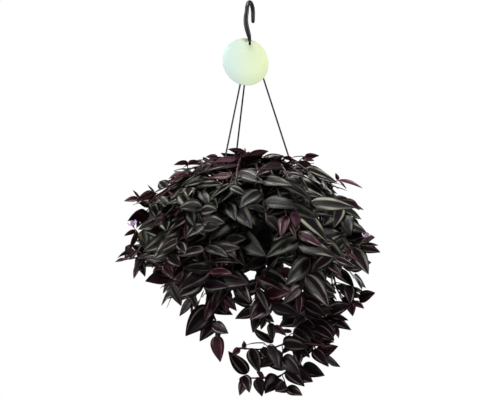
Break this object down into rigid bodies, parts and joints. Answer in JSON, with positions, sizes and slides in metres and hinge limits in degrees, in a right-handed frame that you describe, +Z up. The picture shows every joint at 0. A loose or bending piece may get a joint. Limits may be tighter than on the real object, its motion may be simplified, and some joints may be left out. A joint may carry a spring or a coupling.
{
  "type": "hanging potted trailing plant",
  "caption": "Dark purple-green trailing tradescantia with silver-striped leaves in a round black hanging pot, on a plastic hook with thin strands and a round care tag.",
  "frame": {"origin": "seat inside the top of the hook, where a rail or ceiling hook carries the plant", "axes": "+Z up, -Y towards the viewer of the front, +X to that viewer's right"},
  "size_m": [0.3051, 0.2673, 0.4562],
  "materials": {
    "foliage": "satin dark purple-green leaves with silver stripes",
    "bloom": "matt lilac-pink petals",
    "pot_plastic": "satin black",
    "soil": "matt crumbly peat",
    "hanger_plastic": "satin black",
    "tag_card": "smooth pale green, fading from blue-green to yellow-green"
  },
  "bodies": {
    "root": {"pot": "pot_plastic", "soil": "soil", "hook": "hanger_plastic", "strand_1": "hanger_plastic", "strand_2": "hanger_plastic", "strand_3": "hanger_plastic", "tag": "tag_card", "bloom_left_flower": "bloom", "bloom_right_flower": "bloom", "stem_trail_low_left": "foliage", "stem_trail_lowest": "foliage", "stem_trail_low_right": "foliage", "stem_trail_right": "foliage", "stem_trail_side": "foliage", "stem_trail_front": "foliage", "stem_left_low": "foliage", "stem_left_low_side": "foliage", "stem_left_reach": "foliage", "stem_left_flower": "foliage", "stem_left_upper": "foliage", "stem_left_top": "foliage", "stem_crown_left": "foliage", "stem_crown_middle": "foliage", "stem_crown_right": "foliage", "stem_right_top": "foliage", "stem_right_upper": "foliage", "stem_right_flower": "foliage", "stem_front_star": "foliage", "stem_front_high": "foliage", "stem_front_left": "foliage", "stem_front_brow": "foliage", "stem_front_middle": "foliage", "stem_front_right": "foliage", "stem_front_low": "foliage", "stem_skirt_1": "foliage", "stem_skirt_2": "foliage", "stem_skirt_3": "foliage", "stem_skirt_4": "foliage", "stem_skirt_5": "foliage", "stem_skirt_6": "foliage", "stem_skirt_7": "foliage", "stem_fall_1": "foliage", "stem_fall_2": "foliage", "stem_fall_3": "foliage", "stem_fall_4": "foliage", "stem_fall_5": "foliage", "stem_fall_6": "foliage", "stem_fall_7": "foliage", "stem_arch_1": "foliage", "stem_arch_2": "foliage", "stem_arch_3": "foliage", "stem_arch_4": "foliage", "stem_arch_5": "foliage", "stem_arch_6": "foliage", "stem_crown_1": "foliage", "stem_crown_2": "foliage", "stem_crown_3": "foliage", "stem_crown_5": "foliage", "stem_crown_6": "foliage"}
  },
  "joints": []
}
